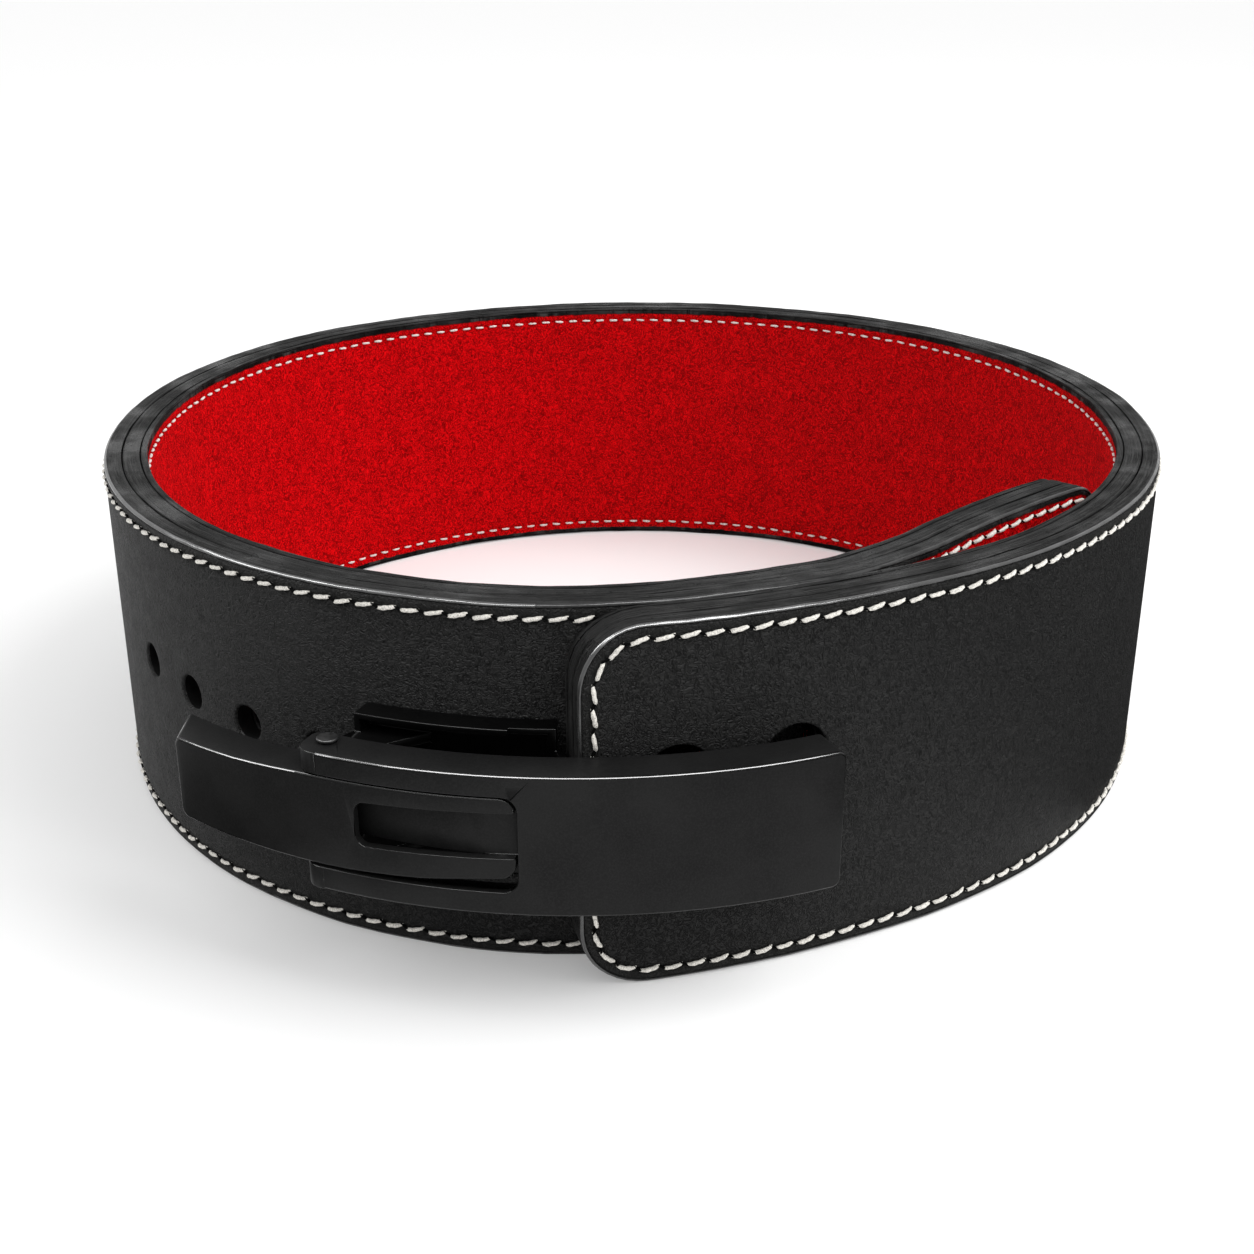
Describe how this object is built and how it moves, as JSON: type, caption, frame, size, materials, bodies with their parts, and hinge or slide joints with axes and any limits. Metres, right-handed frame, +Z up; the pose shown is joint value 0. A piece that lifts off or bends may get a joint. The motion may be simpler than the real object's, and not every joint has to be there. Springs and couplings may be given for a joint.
{
  "type": "weightlifting belt with lever buckle",
  "caption": "Wide stiff leather weightlifting belt, closed into a ring and standing on its rim, with a red suede lining and a curved black lever buckle at the front.",
  "frame": {"origin": "centre of the bounding box at the floor, with the belt standing on its lower rim", "axes": "+Z up through the ring the waist goes through, the buckle faces -Y, +X to the right of someone looking at the buckle"},
  "size_m": [0.3376, 0.3746, 0.1],
  "materials": {
    "black_leather": "fine grained matte leather with a soft sheen",
    "painted_edge_leather": "leather ply with black painted cut edges",
    "red_suede": "napped red suede",
    "black_metal": "satin black coating on pressed steel",
    "dark_steel": "blackened steel"
  },
  "bodies": {
    "belt": {"outer_leather": "black_leather", "core_leather": "painted_edge_leather", "suede_lining": "red_suede", "lever_base": "black_metal", "base_screw_1": "dark_steel", "base_screw_2": "dark_steel", "hinge_pin_upper": "dark_steel", "hinge_pin_lower": "dark_steel"},
    "lever": {"lever": "black_metal", "link_pin_upper": "dark_steel", "link_pin_lower": "dark_steel"},
    "hook": {"hook_plate": "black_metal"}
  },
  "joints": [
    {"name": "lever_hinge", "type": "hinge", "parent": "belt", "child": "lever", "pos_m": [-0.07502, -0.16775, 0.0485], "axis": [0, 0, -1], "range_deg": [0, 110]},
    {"name": "hook_hinge", "type": "hinge", "parent": "lever", "child": "hook", "pos_m": [-0.05237, -0.17557, 0.0485], "axis": [0, 0, -1], "range_deg": [-110, 0]}
  ],
  "couplings": [
    {"joint": "hook_hinge", "follows": "lever_hinge", "ratio": -1}
  ]
}
